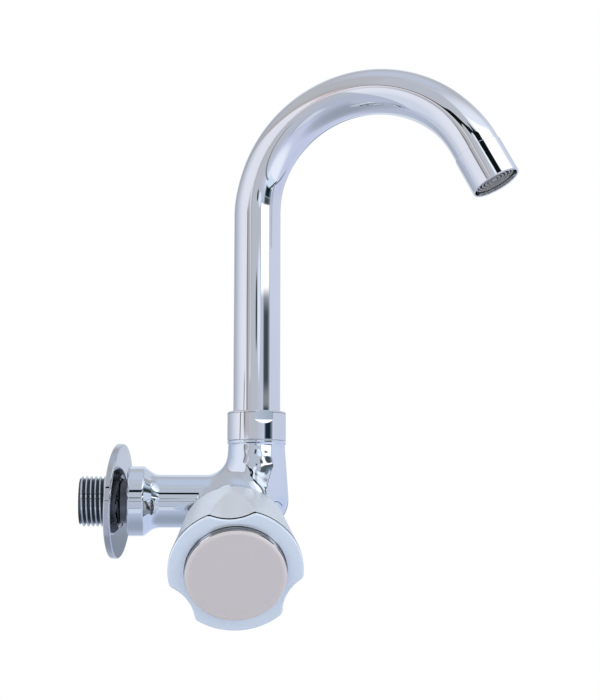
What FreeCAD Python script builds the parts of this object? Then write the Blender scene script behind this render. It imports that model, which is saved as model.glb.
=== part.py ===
import FreeCAD, Part
import math
import os
from FreeCAD import Vector

# A wall-mounted sink tap with a swivelling swan-neck spout and a three-lobed knob on a rising-spindle valve.
# Millimetres. X runs out of the wall along the inlet, Z is up, and the knob points towards -Y and down.
# The origin is on the inlet axis, in the plane of the wall.

# Clearances
running_gap = 0.05
seat_gap = 0.05
assembly_gap = 0.1
free_gap = 0.3

# Inlet thread, a G 1/2 male thread
thread_crest_r = 10.2
thread_pitch = 1.814
thread_depth = 1.16
thread_crest_flat = 0.35
thread_end_x = -14.4
thread_chamfer = 1.0
thread_cut_spare = 0.2
relief_start_x = 3.4
relief_r = 8.9
inlet_bore_r = 6.5

# Wall flange, a flat disc that hangs loose and leaning on the thread
flange_r = 23.2
flange_thickness = 2.8
flange_bore_gap = 0.6
flange_edge_round = 0.5
flange_centre_x = 1.05
flange_turn_deg = 7.8
flange_nod_deg = 2.8

# Body casting
shoulder_x = 4.9
shoulder_r = 14.1
shoulder_round = 1.2
shoulder_end_x = 11.4
taper_end_x = 14.5
taper_end_r = 11.75
neck_start_x = 18.4
neck_r = 10.7
outlet_x = 57.0
ball_r = 13.2
ball_z = 1.0
outlet_top_z = 24.6
outlet_top_r = 11.8
outlet_lip = 0.7
neck_fillet_r = 8.0
shortest_edge = 0.1
collar_thread_top_z = 32.0
outlet_bore_r = 8.4
outlet_bore_bottom_z = 12.0

# Valve, measured outwards along its own tilted axis from the inlet axis
valve_x = 47.85
valve_tilt_deg = 28.3
boss_r = 13.2
boss_end = 20.0
chamber_r = 9.0
chamber_floor = 4.2
seat_hole_r = 4.6
seat_lip_width = 1.0
seat_lip_top = 5.2
feed_pocket_r = 5.2
feed_pocket_top = 2.2
feed_pocket_bottom = -5.5
feed_bore_r = 3.8
feed_bore_start_x = 34.0
crossing_r = 3.6
crossing_top = (59.5, -2.0, 13.0)
crossing_bottom = (53.0, -10.0, -1.0)

# Washer, jumper and its nut
valve_washer_r = 6.6
valve_washer_thickness = 2.8
jumper_disc_r = 7.4
jumper_disc_thickness = 1.8
jumper_rim_depth = 1.0
jumper_rim_width = 0.7
jumper_stem_r = 3.0
jumper_stem_length = 7.5
jumper_stud_r = 1.8
washer_nut_flats = 5.5
washer_nut_height = 2.5

# Headwork
bonnet_bottom = 14.0
bonnet_flats = 24.0
bonnet_hex_height = 5.0
bonnet_bevel = 1.0
bonnet_washer_thickness = 0.9
bonnet_washer_width = 2.4
bonnet_neck_r = 8.6
bonnet_top = 36.0
spindle_room_top = 31.0
packing_room_r = 6.5
packing_room_bottom = 33.0
packing_thickness = 2.7
gland_flats = 19.0
gland_bevel = 0.8
gland_bottom = 30.6
gland_wall_top = 1.9

# Spindle
spindle_thick_r = 6.0
spindle_bottom_gap = 0.25
spindle_thick_top = 27.0
spindle_r = 4.0
spindle_drive_flats = 6.0
screw_hole_depth = 8.0

# Knob
knob_rear = 27.25
knob_rear_r = 20.4
knob_rim = 56.8
knob_rim_r = 25.4
knob_shoulder_r = 24.8
knob_shoulder = 57.4
knob_lobes = 3
knob_groove_r = 17.2
knob_groove_bottom_r = 21.75
knob_groove_deg = 94.2
knob_cavity_r = 18.8
knob_web = 3.2
knob_hub_r = 7.6
knob_hub_bottom = 41.0
cap_recess_r = 16.6
cap_recess_depth = 3.6
cap_r = 19.05
cap_face = 60.7
cap_edge_round = 0.35
cap_skirt_width = 1.2
cap_skirt_depth = 2.6
bush_r = 5.6
bush_length = 9.6
bush_cover = 1.6
screw_r = 1.95
screw_head_r = 3.7
screw_head_height = 2.0
screw_slot_width = 1.0
screw_slot_depth = 0.9

# Spout nut
nut_wall = 1.3
nut_height = 11.9
nut_lip = 1.9
nut_edge_round = 0.8
nut_flat_width = 7.7
nut_flat_height = 3.7
nut_flat_deg = -77.0

# Spout
tube_r = 9.7
tube_wall = 1.0
bend_start_z = 118.8
bend_r = 49.0
bend_deg = 152.5
tube_end_length = 2.5
spout_swing_deg = -21.4
tail_flange_width = 0.75
tail_flange_thickness = 1.5
tail_bottom_z = 17.0
tail_spigot_length = 8.0
tail_bore_r = 5.6
slip_ring_thickness = 0.8
slip_ring_width = 0.9
ring_groove_r = 6.9
ring_groove_width = 2.2
ring_section_r = 0.72
ring_places_z = (20.5, 26.0)

# Aerator at the spout's mouth, measured along the spout's end from the seam
housing_length = 15.7
housing_seam_step = 0.2
housing_flare_step = 0.3
housing_flare = 9.0
housing_neck_length = 6.0
housing_neck_gap = 0.2
housing_neck_wall = 1.1
housing_wall = 0.9
housing_bore_start = 1.6
housing_mouth_round = 0.35
cage_top = 2.9
cage_gap = 0.1
cage_upper_wall = 0.8
cage_step = 9.0
cage_wall = 0.7
cage_recess = 1.6
cage_grille_thickness = 1.8
cage_ring_width = 0.55
cage_ring_pitch = 1.5
cage_rings = 4
cage_hub_r = 1.1
cage_ribs = 6
cage_rib_width = 0.5
aerator_washer_thickness = 1.2
aerator_washer_width = 2.6
screen_thickness = 0.3
screen_gap = 1.2
screen_pitch = 1.7
screen_wire = 0.5
screens = 2
diffuser_thickness = 1.0
diffuser_holes = 12
diffuser_hole_r = 0.8
diffuser_circle_r = 4.6

# Worked out from the sizes above
valve_tilt = math.radians(valve_tilt_deg)
bend_angle = math.radians(bend_deg)
nut_top_z = outlet_top_z + nut_height
tube_bore_r = tube_r - tube_wall
slip_ring_r = tube_r + running_gap + slip_ring_width
collar_thread_r = slip_ring_r + assembly_gap
nut_bore_r = collar_thread_r + running_gap
nut_r = nut_bore_r + nut_wall
tail_flange_r = tube_r + tail_flange_width
housing_neck_r = tube_bore_r - housing_neck_gap
housing_neck_bore_r = housing_neck_r - housing_neck_wall
housing_seam_r = tube_r + housing_seam_step
housing_mouth_r = housing_seam_r + housing_flare_step
housing_bore_r = housing_mouth_r - housing_wall
cage_upper_r = housing_bore_r - cage_gap
cage_lower_r = cage_upper_r - cage_upper_wall
aerator_washer_bore_r = cage_upper_r - aerator_washer_width
tail_flange_bottom_z = collar_thread_top_z + seat_gap
tube_bottom_z = tail_flange_bottom_z + tail_flange_thickness
washer_bottom = seat_lip_top + seat_gap
jumper_bottom = washer_bottom + valve_washer_thickness
jumper_top = jumper_bottom + jumper_disc_thickness
washer_nut_bottom = washer_bottom - washer_nut_height
spindle_bottom = jumper_top + spindle_bottom_gap
spindle_socket_top = jumper_top + jumper_stem_length + free_gap
bonnet_hex_bottom = boss_end + bonnet_washer_thickness
bonnet_hex_top = bonnet_hex_bottom + bonnet_hex_height
gland_top = bonnet_top + assembly_gap + gland_wall_top
cap_recess_floor = knob_shoulder - cap_recess_depth
knob_web_bottom = cap_recess_floor - knob_web
bush_top = cap_recess_floor - bush_cover
bush_bottom = bush_top - bush_length
spindle_drive_bottom = bush_bottom - free_gap
spindle_top = bush_top - free_gap


def tube(outer_r, inner_r, bottom, top):
    """A ring about Z between two heights."""
    ring = Part.makeCylinder(outer_r, top - bottom, Vector(0, 0, bottom))
    return ring.cut(Part.makeCylinder(inner_r, top - bottom, Vector(0, 0, bottom)))


def rod(radius, bottom, top):
    """A cylinder about Z between two heights."""
    return Part.makeCylinder(radius, top - bottom, Vector(0, 0, bottom))


def hexagon(across_flats, bottom, top):
    """A hexagonal prism about Z, with its flats squarely up and down."""
    corner_r = across_flats / 2 / math.cos(math.pi / 6)
    corners = []
    for i in range(7):
        angle = math.radians(60 * i)
        corners.append(Vector(corner_r * math.cos(angle), corner_r * math.sin(angle), bottom))
    return Part.Face(Part.makePolygon(corners)).extrude(Vector(0, 0, top - bottom))


def bevelled_hexagon(across_flats, bottom, top, bevel):
    """A hexagonal prism whose upper corners are turned off to a cone."""
    corner_r = across_flats / 2 / math.cos(math.pi / 6)
    cone_r = across_flats / 2
    turned = Part.makeCone(corner_r, cone_r, bevel, Vector(0, 0, top - bevel))
    turned = turned.fuse(rod(corner_r + bevel, bottom, top - bevel))
    return hexagon(across_flats, bottom, top).common(turned)


def turned(edges):
    """The solid that a closed half section in the XZ plane makes about Z."""
    solid = Part.Face(Part.Wire(edges)).revolve(Vector(0, 0, 0), Vector(0, 0, 1), 360)
    return solid if solid.ShapeType == "Solid" else Part.Solid(solid)


def turned_polygon(points):
    """The solid that a closed polygon of (radius, height) points makes about Z."""
    corners = [Vector(r, 0, z) for r, z in points]
    lines = [Part.makeLine(a, b) for a, b in zip(corners, corners[1:] + corners[:1])]
    return turned(lines)


def along_inlet(shape):
    """Lays a shape that was built about Z along X, with Z becoming X."""
    shape.rotate(Vector(0, 0, 0), Vector(0, 1, 0), 90)
    return shape


def on_valve_axis(shape):
    """Puts a shape built about Z on the valve's axis, which points out towards the user and down."""
    shape.rotate(Vector(0, 0, 0), Vector(1, 0, 0), 90 + valve_tilt_deg)
    shape.translate(Vector(valve_x, 0, 0))
    return shape


def on_spout_axis(shape):
    """Puts a shape built about Z on the spout's upright axis, swung as the spout stands."""
    shape.rotate(Vector(0, 0, 0), Vector(0, 0, 1), spout_swing_deg)
    shape.translate(Vector(outlet_x, 0, 0))
    return shape


def bend_end():
    """The point and direction where the spout's bend ends, in the spout's own XZ plane."""
    point = Vector(bend_r * (1 - math.cos(bend_angle)), 0, bend_start_z + bend_r * math.sin(bend_angle))
    direction = Vector(math.sin(bend_angle), 0, math.cos(bend_angle))
    return point, direction


def at_spout_seam(shape):
    """Puts a shape built about Z at the seam between the spout tube and the aerator housing."""
    point, direction = bend_end()
    seam = point + direction * tube_end_length
    shape.rotate(Vector(0, 0, 0), Vector(0, 1, 0), bend_deg)
    shape.translate(seam)
    return on_spout_axis(shape)


def thread_groove():
    """The helical V groove between the crests of the inlet thread, about Z and upwards from the thread's end."""
    root_half = (thread_pitch - thread_crest_flat) / 2
    outer_r = thread_crest_r + thread_cut_spare
    outer_half = root_half * (thread_depth + thread_cut_spare) / thread_depth
    start = thread_end_x - 2 * thread_pitch
    height = relief_start_x + thread_pitch - start
    spine = Part.makeLongHelix(thread_pitch, height, thread_crest_r, 0)
    spine.translate(Vector(0, 0, start))
    section = Part.makePolygon([
        Vector(thread_crest_r - thread_depth, 0, start),
        Vector(outer_r, 0, start - outer_half),
        Vector(outer_r, 0, start + outer_half),
        Vector(thread_crest_r - thread_depth, 0, start),
    ])
    groove = Part.Wire(spine.Edges).makePipeShell([section], True, True)
    return groove.reversed() if groove.Volume < 0 else groove


def inlet_arm():
    """The threaded end, shoulder, taper and neck, about Z and upwards from the thread's end."""
    points = [
        (0, thread_end_x),
        (thread_crest_r - thread_chamfer, thread_end_x),
        (thread_crest_r, thread_end_x + thread_chamfer),
        (thread_crest_r, relief_start_x),
        (relief_r, relief_start_x),
        (relief_r, shoulder_x),
        (shoulder_r - shoulder_round, shoulder_x),
    ]
    corners = [Vector(r, 0, z) for r, z in points]
    edges = [Part.makeLine(a, b) for a, b in zip(corners, corners[1:])]
    rounded = shoulder_round * (1 - math.sqrt(0.5))
    shoulder_top = Vector(shoulder_r, 0, shoulder_x + shoulder_round)
    round_middle = Vector(shoulder_r - rounded, 0, shoulder_x + rounded)
    edges.append(Part.Arc(corners[-1], round_middle, shoulder_top).toShape())
    shoulder_end = Vector(shoulder_r, 0, shoulder_end_x)
    taper_end = Vector(taper_end_r, 0, taper_end_x)
    neck_start = Vector(neck_r, 0, neck_start_x)
    neck_end = Vector(neck_r, 0, outlet_x)
    edges.append(Part.makeLine(shoulder_top, shoulder_end))
    edges.append(Part.makeLine(shoulder_end, taper_end))
    hollow = Part.BezierCurve()
    slope = (taper_end_r - shoulder_r) / (taper_end_x - shoulder_end_x)
    corner = Vector(neck_r, 0, taper_end_x + (neck_r - taper_end_r) / slope)
    hollow.setPoles([taper_end, corner, neck_start])
    edges.append(hollow.toShape())
    edges.append(Part.makeLine(neck_start, neck_end))
    edges.append(Part.makeLine(neck_end, Vector(0, 0, outlet_x)))
    edges.append(Part.makeLine(Vector(0, 0, outlet_x), corners[0]))
    return turned(edges)


def outlet_form():
    """The upright outlet about Z: a ball below, then a slightly narrowing neck, tangent to the ball."""
    rise = outlet_top_z - ball_z
    reach = math.hypot(rise, outlet_top_r)
    touch = math.atan2(rise, outlet_top_r) - math.acos(ball_r / reach)
    bottom = Vector(0, 0, ball_z - ball_r)
    side = Vector(ball_r * math.cos(touch), 0, ball_z + ball_r * math.sin(touch))
    middle = Vector(ball_r * math.cos(-math.pi / 4), 0, ball_z + ball_r * math.sin(-math.pi / 4))
    top_edge = Vector(outlet_top_r, 0, outlet_top_z - outlet_lip)
    lip_edge = Vector(outlet_top_r, 0, outlet_top_z)
    top = Vector(0, 0, outlet_top_z)
    edges = [
        Part.Arc(bottom, middle, side).toShape(),
        Part.makeLine(side, top_edge),
        Part.makeLine(top_edge, lip_edge),
        Part.makeLine(lip_edge, top),
        Part.makeLine(top, bottom),
    ]
    return turned(edges)


def joining_edges(shape, low_x, high_x):
    """The free-form edges where two round forms run into each other between two places along X."""
    found = []
    for edge in shape.Edges:
        if edge.Length < shortest_edge:
            continue
        box = edge.BoundBox
        if low_x < box.XMin and box.XMax < high_x and edge.Curve.TypeId == "Part::GeomBSplineCurve":
            found.append(edge)
    return found


def body_outside():
    """The casting's outer form: inlet arm and outlet blended together, and the valve boss."""
    outlet = outlet_form()
    outlet.translate(Vector(outlet_x, 0, 0))
    form = along_inlet(inlet_arm()).fuse(outlet)
    form = form.makeFillet(neck_fillet_r, joining_edges(form, neck_start_x, outlet_x))
    boss = on_valve_axis(rod(boss_r, 0, boss_end))
    return form.fuse(boss)


def body_waterways():
    """Everything that is bored out of the casting, from the inlet through the seat to the outlet."""
    cuts = [
        along_inlet(rod(inlet_bore_r, thread_end_x, feed_bore_start_x)),
        on_valve_axis(rod(feed_pocket_r, feed_pocket_bottom, feed_pocket_top)),
        on_valve_axis(rod(seat_hole_r, feed_pocket_top, seat_lip_top)),
        on_valve_axis(rod(chamber_r, seat_lip_top, boss_end)),
        on_valve_axis(tube(chamber_r, seat_hole_r + seat_lip_width, chamber_floor, seat_lip_top)),
    ]
    feed = along_inlet(rod(feed_bore_r, feed_bore_start_x, valve_x))
    back = (feed_pocket_bottom + feed_pocket_top) / 2
    feed.translate(Vector(0, -back * math.cos(valve_tilt), -back * math.sin(valve_tilt)))
    cuts.append(feed)
    start = Vector(*crossing_top)
    run = Vector(*crossing_bottom) - start
    cuts.append(Part.makeCylinder(crossing_r, run.Length, start, run))
    bore_length = collar_thread_top_z - outlet_bore_bottom_z
    cuts.append(Part.makeCylinder(outlet_bore_r, bore_length, Vector(outlet_x, 0, outlet_bore_bottom_z)))
    return cuts


def body_casting():
    """The one-piece body with its inlet thread, valve seat, boss and outlet collar."""
    casting = body_outside()
    collar = Part.makeCylinder(
        collar_thread_r, collar_thread_top_z - outlet_top_z, Vector(outlet_x, 0, outlet_top_z)
    )
    casting = casting.fuse(collar)
    for cut in body_waterways():
        casting = casting.cut(cut)
    return casting.cut(along_inlet(thread_groove()))


def wall_flange():
    """The loose disc that covers the hole in the wall."""
    half = flange_thickness / 2
    disc = tube(flange_r, thread_crest_r + flange_bore_gap, -half, half)
    rims = [e for e in disc.Edges if e.BoundBox.XMax > flange_r - flange_edge_round and e.BoundBox.ZLength < half]
    disc = along_inlet(disc.makeFillet(flange_edge_round, rims))
    disc.rotate(Vector(0, 0, 0), Vector(0, 1, 0), flange_nod_deg)
    disc.rotate(Vector(0, 0, 0), Vector(0, 0, 1), -flange_turn_deg)
    disc.translate(Vector(flange_centre_x, 0, 0))
    return disc


def bonnet():
    """The headwork body: screwed into the boss, with a hexagon, and hollow for the spindle and the packing."""
    outside = rod(chamber_r - assembly_gap, bonnet_bottom, bonnet_hex_bottom)
    outside = outside.fuse(bevelled_hexagon(bonnet_flats, bonnet_hex_bottom, bonnet_hex_top, bonnet_bevel))
    outside = outside.fuse(rod(bonnet_neck_r, bonnet_hex_top, bonnet_top))
    outside = outside.cut(rod(spindle_thick_r + running_gap, bonnet_bottom, spindle_room_top))
    outside = outside.cut(rod(spindle_r + running_gap, spindle_room_top, packing_room_bottom))
    outside = outside.cut(rod(packing_room_r, packing_room_bottom, bonnet_top))
    return on_valve_axis(outside)


def bonnet_washer():
    """The sealing washer between the boss and the bonnet's hexagon."""
    inner_r = chamber_r + assembly_gap
    return on_valve_axis(tube(inner_r + bonnet_washer_width, inner_r, boss_end, bonnet_hex_bottom))


def gland_packing():
    """The soft ring round the spindle, at the top of the bonnet."""
    bottom = packing_room_bottom + seat_gap
    ring = tube(packing_room_r - seat_gap, spindle_r + running_gap, bottom, bottom + packing_thickness)
    return on_valve_axis(ring)


def gland_nut():
    """The cap nut that holds the packing down."""
    nut = bevelled_hexagon(gland_flats, gland_bottom, gland_top, gland_bevel)
    nut = nut.cut(rod(bonnet_neck_r + assembly_gap, gland_bottom, bonnet_top + assembly_gap))
    nut = nut.cut(rod(spindle_r + assembly_gap, gland_bottom, gland_top))
    return on_valve_axis(nut)


def spindle():
    """The threaded spindle: thick below, with a socket for the jumper's stem, and a square drive on top."""
    shaft = rod(spindle_thick_r, spindle_bottom, spindle_thick_top)
    shaft = shaft.fuse(rod(spindle_r, spindle_thick_top, spindle_drive_bottom))
    half = spindle_drive_flats / 2
    length = spindle_top - spindle_drive_bottom
    square = Part.makeBox(2 * half, 2 * half, length, Vector(-half, -half, spindle_drive_bottom))
    shaft = shaft.fuse(square.common(rod(spindle_r, spindle_drive_bottom, spindle_top)))
    shaft = shaft.cut(rod(jumper_stem_r + running_gap, spindle_bottom, spindle_socket_top))
    shaft = shaft.cut(rod(screw_r, spindle_top - screw_hole_depth, spindle_top))
    return on_valve_axis(shaft)


def jumper():
    """The valve disc, with a shallow rim round the washer, a stem for the spindle and a stud for the nut."""
    disc = rod(jumper_disc_r, jumper_bottom, jumper_top)
    rim_bottom = jumper_bottom - jumper_rim_depth
    disc = disc.fuse(tube(jumper_disc_r, jumper_disc_r - jumper_rim_width, rim_bottom, jumper_bottom))
    disc = disc.fuse(rod(jumper_stem_r, jumper_top, jumper_top + jumper_stem_length))
    return on_valve_axis(disc.fuse(rod(jumper_stud_r, washer_nut_bottom, jumper_bottom)))


def valve_washer():
    """The rubber disc that closes the seat."""
    return on_valve_axis(tube(valve_washer_r, jumper_stud_r, washer_bottom, jumper_bottom))


def washer_nut():
    """The small nut that holds the rubber disc on the jumper, inside the seat's hole."""
    nut = hexagon(washer_nut_flats, washer_nut_bottom, washer_bottom)
    return on_valve_axis(nut.cut(rod(jumper_stud_r, washer_nut_bottom, washer_bottom)))


def knob_grooves():
    """The round grooves between the knob's lobes."""
    grooves = []
    offset = knob_groove_bottom_r + knob_groove_r
    for i in range(knob_lobes):
        angle = math.radians(knob_groove_deg + 360 * i / knob_lobes)
        foot = Vector(offset * math.cos(angle), offset * math.sin(angle), knob_rear)
        grooves.append(Part.makeCylinder(knob_groove_r, knob_shoulder - knob_rear, foot))
    return grooves


def knob_shell():
    """The hand knob: a flaring skirt with three lobes, a web near the front and a hub."""
    outside = turned_polygon([
        (0, knob_rear),
        (knob_rear_r, knob_rear),
        (knob_rim_r, knob_rim),
        (knob_shoulder_r, knob_shoulder),
        (0, knob_shoulder),
    ])
    for groove in knob_grooves():
        outside = outside.cut(groove)
    shell = outside.cut(rod(knob_cavity_r, knob_rear, knob_web_bottom))
    shell = shell.fuse(rod(knob_hub_r, knob_hub_bottom, knob_web_bottom))
    shell = shell.cut(rod(cap_recess_r, cap_recess_floor, knob_shoulder))
    shell = shell.cut(rod(screw_r + assembly_gap, knob_hub_bottom, knob_shoulder))
    return on_valve_axis(shell.cut(rod(bush_r, knob_hub_bottom, bush_top)))


def knob_bush():
    """The metal insert in the knob's hub, with a square hole for the spindle's drive."""
    bush = rod(bush_r, bush_bottom, bush_top)
    half = spindle_drive_flats / 2 + running_gap
    square = Part.makeBox(2 * half, 2 * half, bush_length, Vector(-half, -half, bush_bottom))
    return on_valve_axis(bush.cut(square.common(rod(spindle_r + running_gap, bush_bottom, bush_top))))


def knob_screw():
    """The slotted screw that holds the knob on the spindle, under the cap."""
    head_bottom = cap_recess_floor
    head_top = head_bottom + screw_head_height
    screw = rod(screw_head_r, head_bottom, head_top)
    screw = screw.fuse(rod(screw_r, spindle_top - screw_hole_depth + free_gap, head_bottom))
    slot = Part.makeBox(
        2 * screw_head_r, screw_slot_width, screw_slot_depth,
        Vector(-screw_head_r, -screw_slot_width / 2, head_top - screw_slot_depth),
    )
    return on_valve_axis(screw.cut(slot))


def knob_cap():
    """The round cap on the knob's front, with a short skirt that snaps into the recess."""
    cap = rod(cap_r, knob_shoulder, cap_face)
    face_edge = [e for e in cap.Edges if e.BoundBox.ZMin > cap_face - cap_edge_round]
    cap = cap.makeFillet(cap_edge_round, face_edge)
    skirt_r = cap_recess_r - assembly_gap / 2
    skirt = tube(skirt_r, skirt_r - cap_skirt_width, knob_shoulder - cap_skirt_depth, knob_shoulder)
    return on_valve_axis(cap.fuse(skirt))


def spout_nut():
    """The round nut that keeps the spout on the body, with two small spanner flats under its top edge."""
    nut = rod(nut_r, outlet_top_z, nut_top_z)
    top_edge = [e for e in nut.Edges if e.BoundBox.ZMin > nut_top_z - nut_edge_round]
    nut = nut.makeFillet(nut_edge_round, top_edge)
    nut = nut.cut(rod(nut_bore_r, outlet_top_z, nut_top_z - nut_lip))
    nut = nut.cut(rod(tube_r + assembly_gap, outlet_top_z, nut_top_z))
    flat_distance = math.sqrt(nut_r ** 2 - (nut_flat_width / 2) ** 2)
    for turn in (0, 180):
        block = Part.makeBox(
            nut_r, 2 * nut_r, nut_flat_height, Vector(flat_distance, -nut_r, nut_top_z - nut_flat_height)
        )
        block.rotate(Vector(0, 0, 0), Vector(0, 0, 1), nut_flat_deg + turn)
        nut = nut.cut(block)
    nut.translate(Vector(outlet_x, 0, 0))
    return nut


def slip_ring():
    """The plastic ring on which the spout's flange turns under the nut's lip."""
    top = nut_top_z - nut_lip - seat_gap
    ring = tube(slip_ring_r, tube_r + running_gap, top - slip_ring_thickness, top)
    return on_spout_axis(ring)


def spout_tail():
    """The turned bush in the foot of the spout: ring grooves below, a flange, and a spigot in the tube."""
    tail = rod(outlet_bore_r - running_gap, tail_bottom_z, tail_flange_bottom_z)
    tail = tail.fuse(rod(tail_flange_r, tail_flange_bottom_z, tube_bottom_z))
    tail = tail.fuse(rod(tube_bore_r - running_gap, tube_bottom_z, tube_bottom_z + tail_spigot_length))
    tail = tail.cut(rod(tail_bore_r, tail_bottom_z, tube_bottom_z + tail_spigot_length))
    for place in ring_places_z:
        half = ring_groove_width / 2
        tail = tail.cut(tube(outlet_bore_r, ring_groove_r, place - half, place + half))
    return on_spout_axis(tail)


def tail_o_rings():
    """The two sealing rings in the tail's grooves."""
    centre_r = ring_groove_r + running_gap + ring_section_r
    rings = [Part.makeTorus(centre_r, ring_section_r, Vector(0, 0, place)) for place in ring_places_z]
    return on_spout_axis(Part.makeCompound(rings))


def spout_path():
    """The spout's centre line: upright, round the bend, then straight to the seam."""
    foot = Vector(0, 0, tube_bottom_z)
    bend_start = Vector(0, 0, bend_start_z)
    half = bend_angle / 2
    middle = Vector(bend_r * (1 - math.cos(half)), 0, bend_start_z + bend_r * math.sin(half))
    point, direction = bend_end()
    return Part.Wire([
        Part.makeLine(foot, bend_start),
        Part.Arc(bend_start, middle, point).toShape(),
        Part.makeLine(point, point + direction * tube_end_length),
    ])


def spout_tube():
    """The bent swan-neck tube."""
    path = spout_path()
    foot = Vector(0, 0, tube_bottom_z)
    pipes = []
    for radius in (tube_r, tube_bore_r):
        ring = Part.Wire(Part.Circle(foot, Vector(0, 0, 1), radius).toShape())
        pipes.append(path.makePipeShell([ring], True, False))
    return on_spout_axis(pipes[0].cut(pipes[1]))


def aerator_housing():
    """The sleeve at the spout's mouth: a neck inside the tube, a slight flare and an open mouth."""
    housing = turned_polygon([
        (housing_neck_bore_r, -housing_neck_length),
        (housing_neck_r, -housing_neck_length),
        (housing_neck_r, 0),
        (housing_seam_r, 0),
        (housing_mouth_r, housing_flare),
        (housing_mouth_r, housing_length),
        (housing_bore_r, housing_length),
        (housing_bore_r, housing_bore_start),
        (housing_neck_bore_r, housing_bore_start),
    ])
    rim = [e for e in housing.Edges if e.BoundBox.ZMin > housing_length - housing_mouth_round]
    return at_spout_seam(housing.makeFillet(housing_mouth_round, rim))


def aerator_washer():
    """The rubber ring between the housing's inner shoulder and the cage."""
    bottom = cage_top - aerator_washer_thickness
    return at_spout_seam(tube(cage_upper_r, aerator_washer_bore_r, bottom, cage_top))


def aerator_cage():
    """The plastic cage: a stepped sleeve with a grille of rings and ribs at its mouth."""
    bottom = housing_length - cage_recess
    cage = rod(cage_upper_r, cage_top, cage_step)
    cage = cage.fuse(rod(cage_lower_r, cage_step, bottom))
    cage = cage.cut(rod(cage_lower_r - cage_wall, cage_top, bottom))
    grille_top = bottom - cage_grille_thickness
    cage = cage.fuse(rod(cage_hub_r, grille_top, bottom))
    for i in range(cage_rings):
        outer_r = cage_hub_r + (i + 1) * cage_ring_pitch
        cage = cage.fuse(tube(outer_r, outer_r - cage_ring_width, grille_top, bottom))
    for i in range(cage_ribs):
        rib = Part.makeBox(
            cage_lower_r - cage_wall / 2, cage_rib_width, cage_grille_thickness / 2,
            Vector(0, -cage_rib_width / 2, grille_top),
        )
        rib.rotate(Vector(0, 0, 0), Vector(0, 0, 1), 360 * i / cage_ribs)
        cage = cage.fuse(rib)
    return at_spout_seam(cage)


def screen_disc(top):
    """A wire screen as a thin disc with square holes."""
    radius = cage_lower_r - cage_wall - running_gap
    disc = rod(radius, top, top + screen_thickness)
    hole = screen_pitch - screen_wire
    reach = int(radius / screen_pitch)
    holes = []
    for i in range(-reach, reach + 1):
        for j in range(-reach, reach + 1):
            x = i * screen_pitch
            y = j * screen_pitch
            if math.hypot(abs(x) + hole / 2, abs(y) + hole / 2) < radius - screen_wire:
                corner = Vector(x - hole / 2, y - hole / 2, top)
                holes.append(Part.makeBox(hole, hole, screen_thickness, corner))
    return disc.cut(Part.makeCompound(holes))


def aerator_screens():
    """The screens that break the water up, one above the other in the cage."""
    first = housing_length - cage_recess - cage_grille_thickness - screen_gap
    discs = [screen_disc(first - i * screen_gap) for i in range(screens)]
    return at_spout_seam(Part.makeCompound(discs))


def aerator_diffuser():
    """The pierced disc at the top of the cage."""
    radius = cage_lower_r - cage_wall - running_gap
    disc = rod(radius, cage_top, cage_top + diffuser_thickness)
    for i in range(diffuser_holes):
        angle = 2 * math.pi * i / diffuser_holes
        place = Vector(diffuser_circle_r * math.cos(angle), diffuser_circle_r * math.sin(angle), cage_top)
        disc = disc.cut(Part.makeCylinder(diffuser_hole_r, diffuser_thickness, place))
    return at_spout_seam(disc)


sub_parts = [
    body_casting, wall_flange, bonnet, bonnet_washer, gland_packing, gland_nut, spindle, jumper,
    valve_washer, washer_nut, knob_shell, knob_bush, knob_screw, knob_cap, spout_nut, slip_ring,
    spout_tail, tail_o_rings, spout_tube, aerator_housing, aerator_washer, aerator_cage,
    aerator_screens, aerator_diffuser,
]

os.makedirs("parts", exist_ok=True)
for make in sub_parts:
    shape = make()
    shape.exportStep("parts/" + make.__name__ + ".step")
    print(make.__name__, len(shape.Solids), shape.isValid(), round(shape.Volume, 1))
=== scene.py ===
import math

import bmesh
import bpy
import numpy as np
from mathutils import Matrix, Vector


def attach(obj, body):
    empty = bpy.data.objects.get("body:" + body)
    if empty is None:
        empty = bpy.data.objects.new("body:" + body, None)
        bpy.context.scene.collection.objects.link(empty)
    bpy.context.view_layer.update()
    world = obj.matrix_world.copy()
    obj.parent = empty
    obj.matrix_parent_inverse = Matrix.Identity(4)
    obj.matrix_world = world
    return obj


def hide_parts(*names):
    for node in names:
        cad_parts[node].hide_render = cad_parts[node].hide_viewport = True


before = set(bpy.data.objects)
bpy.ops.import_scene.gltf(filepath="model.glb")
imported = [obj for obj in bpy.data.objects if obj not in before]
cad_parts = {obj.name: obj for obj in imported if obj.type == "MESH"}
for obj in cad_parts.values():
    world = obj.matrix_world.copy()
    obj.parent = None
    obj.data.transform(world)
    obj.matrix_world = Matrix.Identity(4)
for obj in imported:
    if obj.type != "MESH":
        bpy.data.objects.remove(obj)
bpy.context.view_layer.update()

# Units: sizes are in millimetres and angles in radians, unless a comment says metres or degrees
MM = 0.001
DEGREE = 180 / math.pi

# Sizes shared with the solids
OUTLET_X = 57.0
VALVE_X = 47.85
VALVE_TILT = math.radians(28.3)
SWING = math.radians(-21.4)
TUBE_R = 9.7
BEND_R = 49.0
BEND_START = 118.8
BEND = math.radians(152.5)
TUBE_END = 2.5
NUT_BOTTOM = 24.6
NUT_TOP = 36.5
CREST_R = 10.2


def bend_place(angle):
    """The point and the direction of the spout's centre line at an angle of its bend."""
    point = Vector((BEND_R * (1 - math.cos(angle)), 0, BEND_START + BEND_R * math.sin(angle)))
    return point, Vector((math.sin(angle), 0, math.cos(angle)))


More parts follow.
